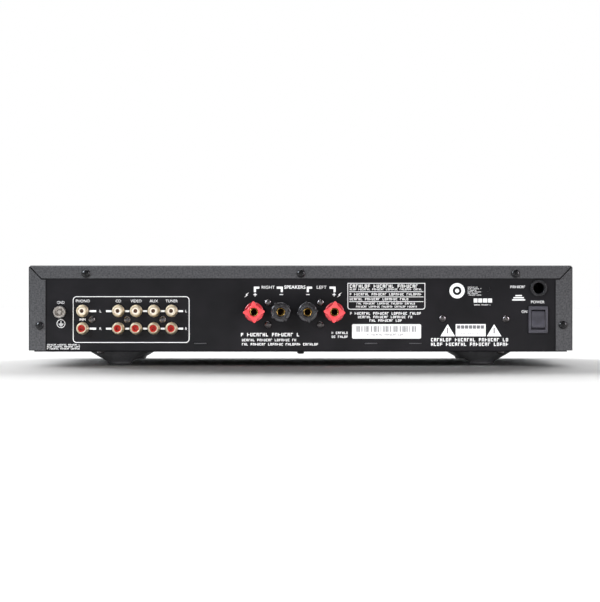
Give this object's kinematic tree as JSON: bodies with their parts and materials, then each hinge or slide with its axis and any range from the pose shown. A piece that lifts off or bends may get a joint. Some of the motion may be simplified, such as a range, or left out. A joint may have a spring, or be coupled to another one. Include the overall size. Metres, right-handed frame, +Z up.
{
  "type": "integrated amplifier",
  "caption": "Slim full-width stereo amplifier in a folded steel case, with phono jacks, screw speaker terminals, an earth terminal, a mains rocker and front knobs.",
  "frame": {"origin": "on the floor under the middle of the case, at the centre of the footprint's box", "axes": "+Z up; the controls face -Y and the connectors face +Y; +X is right seen from the front"},
  "size_m": [0.435, 0.286, 0.08],
  "materials": {
    "cover_paint": "textured dark grey powder coat",
    "panel_paint": "satin black paint with white printing",
    "pan_steel": "zinc plated steel sheet",
    "fascia_paint": "fine satin graphite paint",
    "foot_plastic": "moulded black ABS",
    "black_screw": "black oxide steel",
    "moulded_black": "moulded black plastic",
    "rocker_plastic": "moulded black plastic, half gloss",
    "jack_metal": "nickel and gold flash plating",
    "terminal_gold": "gold plated brass",
    "cap_red": "clear red moulded plastic",
    "cap_black": "smoked clear moulded plastic",
    "nickel": "nickel plated steel",
    "knob_plastic": "graphite painted plastic",
    "circuit_board": "green solder mask",
    "lamination": "varnished steel laminations",
    "coil_tape": "enamelled copper under tape",
    "heatsink": "extruded aluminium",
    "capacitor_sleeve": "shrunk plastic sleeve"
  },
  "bodies": {
    "chassis": {"top_cover": "cover_paint", "rear_panel": "panel_paint", "base_pan": "pan_steel", "front_fascia": "fascia_paint", "foot_front_left": "foot_plastic", "foot_front_right": "foot_plastic", "foot_rear_left": "foot_plastic", "foot_rear_right": "foot_plastic", "cover_screw_1": "black_screw", "cover_screw_2": "black_screw", "cover_screw_3": "black_screw", "cover_screw_4": "black_screw", "cover_screw_5": "black_screw", "input_block_phono": "moulded_black", "input_shells_phono": "jack_metal", "input_block_line_a": "moulded_black", "input_shells_line_a": "jack_metal", "input_block_line_b": "moulded_black", "input_shells_line_b": "jack_metal", "speaker_block_right": "moulded_black", "speaker_block_left": "moulded_black", "terminal_post_1": "terminal_gold", "terminal_post_2": "terminal_gold", "terminal_post_3": "terminal_gold", "terminal_post_4": "terminal_gold", "ground_post": "nickel", "cord_bushing": "moulded_black", "switch_housing": "moulded_black", "headphone_socket": "moulded_black", "main_board": "circuit_board", "transformer_core": "lamination", "transformer_winding": "coil_tape", "heatsink": "heatsink", "capacitor_1": "capacitor_sleeve", "capacitor_2": "capacitor_sleeve", "power_ic_left": "moulded_black", "power_ic_right": "moulded_black", "volume_pot": "nickel", "bass_pot": "nickel", "treble_pot": "nickel", "balance_pot": "nickel", "selector_switch": "nickel"},
    "power_rocker": {"power_rocker": "rocker_plastic"},
    "terminal_clamp_1": {"terminal_clamp_1": "terminal_gold"},
    "terminal_cap_1": {"terminal_cap_1": "cap_red"},
    "terminal_clamp_2": {"terminal_clamp_2": "terminal_gold"},
    "terminal_cap_2": {"terminal_cap_2": "cap_black"},
    "terminal_clamp_3": {"terminal_clamp_3": "terminal_gold"},
    "terminal_cap_3": {"terminal_cap_3": "cap_black"},
    "terminal_clamp_4": {"terminal_clamp_4": "terminal_gold"},
    "terminal_cap_4": {"terminal_cap_4": "cap_red"},
    "ground_washer": {"ground_washer": "nickel"},
    "ground_nut": {"ground_nut": "nickel"},
    "volume_knob": {"volume_knob": "knob_plastic"},
    "input_selector_knob": {"input_selector_knob": "knob_plastic"},
    "bass_knob": {"bass_knob": "knob_plastic"},
    "treble_knob": {"treble_knob": "knob_plastic"},
    "balance_knob": {"balance_knob": "knob_plastic"},
    "standby_button": {"standby_button": "knob_plastic"},
    "tone_defeat_button": {"tone_defeat_button": "knob_plastic"}
  },
  "joints": [
    {"name": "power_rocker_tilt", "type": "hinge", "parent": "chassis", "child": "power_rocker", "pos_m": [-0.1898, 0.125, 0.0367], "axis": [-1, 0, 0], "range_deg": [0, 20]},
    {"name": "terminal_slide_1", "type": "slide", "parent": "chassis", "child": "terminal_clamp_1", "axis": [0, 1, 0], "range_m": [0, 0.0051]},
    {"name": "terminal_turn_1", "type": "hinge", "parent": "terminal_clamp_1", "child": "terminal_cap_1", "pos_m": [0.03705, 0.136, 0.0428], "axis": [0, 1, 0], "range_deg": [0, 1800]},
    {"name": "terminal_slide_2", "type": "slide", "parent": "chassis", "child": "terminal_clamp_2", "axis": [0, 1, 0], "range_m": [0, 0.0051]},
    {"name": "terminal_turn_2", "type": "hinge", "parent": "terminal_clamp_2", "child": "terminal_cap_2", "pos_m": [0.01575, 0.136, 0.0428], "axis": [0, 1, 0], "range_deg": [0, 1800]},
    {"name": "terminal_slide_3", "type": "slide", "parent": "chassis", "child": "terminal_clamp_3", "axis": [0, 1, 0], "range_m": [0, 0.0051]},
    {"name": "terminal_turn_3", "type": "hinge", "parent": "terminal_clamp_3", "child": "terminal_cap_3", "pos_m": [-0.00555, 0.136, 0.0428], "axis": [0, 1, 0], "range_deg": [0, 1800]},
    {"name": "terminal_slide_4", "type": "slide", "parent": "chassis", "child": "terminal_clamp_4", "axis": [0, 1, 0], "range_m": [0, 0.0051]},
    {"name": "terminal_turn_4", "type": "hinge", "parent": "terminal_clamp_4", "child": "terminal_cap_4", "pos_m": [-0.02685, 0.136, 0.0428], "axis": [0, 1, 0], "range_deg": [0, 1800]},
    {"name": "ground_slide", "type": "slide", "parent": "chassis", "child": "ground_washer", "axis": [0, 1, 0], "range_m": [0, 0.00285]},
    {"name": "ground_turn", "type": "hinge", "parent": "ground_washer", "child": "ground_nut", "pos_m": [0.192, 0.133, 0.0428], "axis": [0, 1, 0], "range_deg": [0, 1440]},
    {"name": "volume_turn", "type": "hinge", "parent": "chassis", "child": "volume_knob", "pos_m": [0.16, -0.135, 0.0455], "axis": [0, 1, 0], "range_deg": [0, 300]},
    {"name": "selector_turn", "type": "hinge", "parent": "chassis", "child": "input_selector_knob", "pos_m": [-0.095, -0.135, 0.0455], "axis": [0, 1, 0], "range_deg": [-60, 60]},
    {"name": "bass_turn", "type": "hinge", "parent": "chassis", "child": "bass_knob", "pos_m": [-0.03, -0.135, 0.0455], "axis": [0, 1, 0], "range_deg": [-140, 140]},
    {"name": "treble_turn", "type": "hinge", "parent": "chassis", "child": "treble_knob", "pos_m": [0.015, -0.135, 0.0455], "axis": [0, 1, 0], "range_deg": [-140, 140]},
    {"name": "balance_turn", "type": "hinge", "parent": "chassis", "child": "balance_knob", "pos_m": [0.06, -0.135, 0.0455], "axis": [0, 1, 0], "range_deg": [-140, 140]},
    {"name": "standby_press", "type": "slide", "parent": "chassis", "child": "standby_button", "axis": [0, 1, 0], "range_m": [0, 0.0015], "stiffness_N_per_m": 300, "springref_m": -0.002},
    {"name": "tone_defeat_press", "type": "slide", "parent": "chassis", "child": "tone_defeat_button", "axis": [0, 1, 0], "range_m": [0, 0.0015], "stiffness_N_per_m": 300, "springref_m": -0.002}
  ],
  "couplings": [
    {"joint": "terminal_slide_1", "follows": "terminal_turn_1", "m_per_rad": 0.00015915},
    {"joint": "terminal_slide_2", "follows": "terminal_turn_2", "m_per_rad": 0.00015915},
    {"joint": "terminal_slide_3", "follows": "terminal_turn_3", "m_per_rad": 0.00015915},
    {"joint": "terminal_slide_4", "follows": "terminal_turn_4", "m_per_rad": 0.00015915},
    {"joint": "ground_slide", "follows": "ground_turn", "m_per_rad": 0.00011141}
  ]
}
